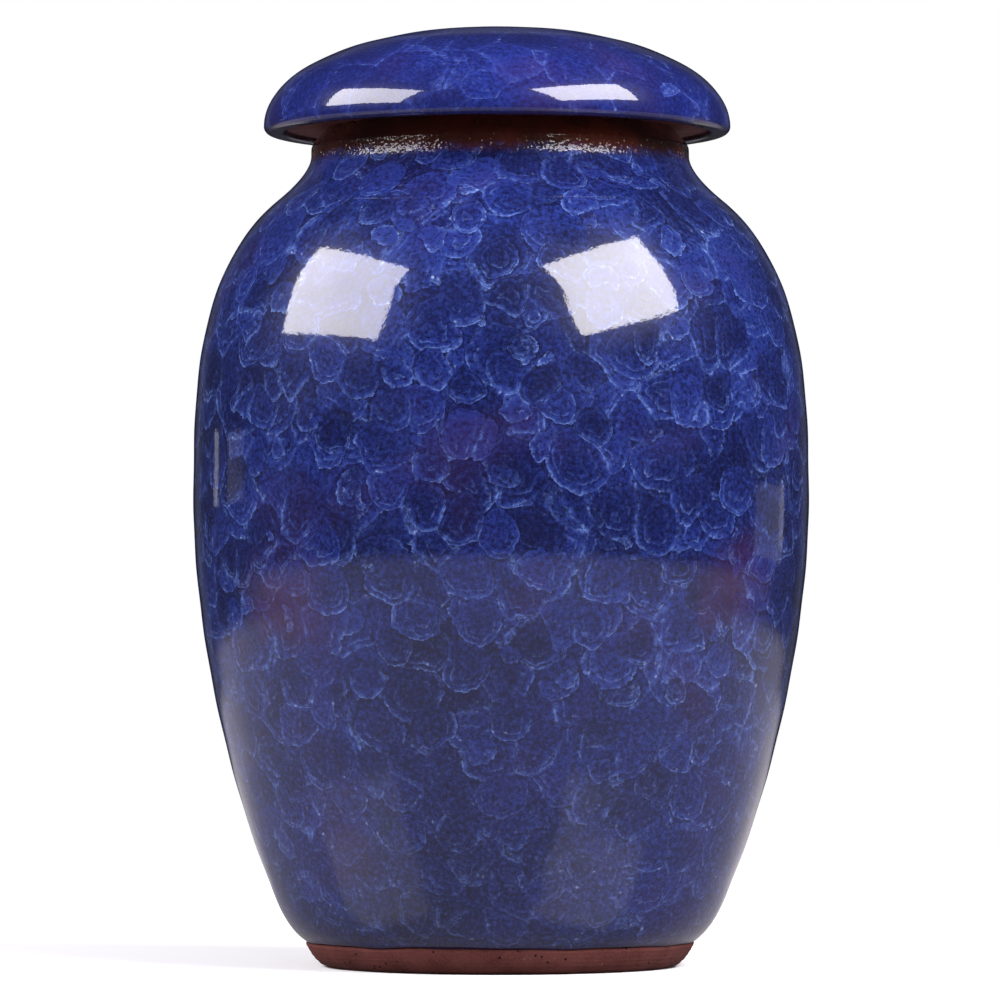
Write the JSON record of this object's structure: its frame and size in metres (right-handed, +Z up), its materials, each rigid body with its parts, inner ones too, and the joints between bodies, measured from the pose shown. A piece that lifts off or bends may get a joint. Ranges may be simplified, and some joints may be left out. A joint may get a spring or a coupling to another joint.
{
  "type": "funeral urn",
  "caption": "Round-shouldered glazed stoneware cremation urn, hollow, with a short neck, a bare clay foot and a wide domed lid that lifts off.",
  "frame": {"origin": "centre of the foot ring, on the surface that the urn stands on", "axes": "+Z up along the axis of the urn; it is round, so X and Y may be any two level directions"},
  "size_m": [0.17, 0.17, 0.2587],
  "materials": {
    "body_glaze": "gloss ultramarine ice-crackle glaze, breaking to brown at the neck, over a matt red-brown clay foot",
    "lid_glaze": "gloss ultramarine ice-crackle glaze with larger plates, bare red-brown clay on the seat and inside"
  },
  "bodies": {
    "root": {"urn_body": "body_glaze", "lid": "lid_glaze"}
  },
  "joints": []
}
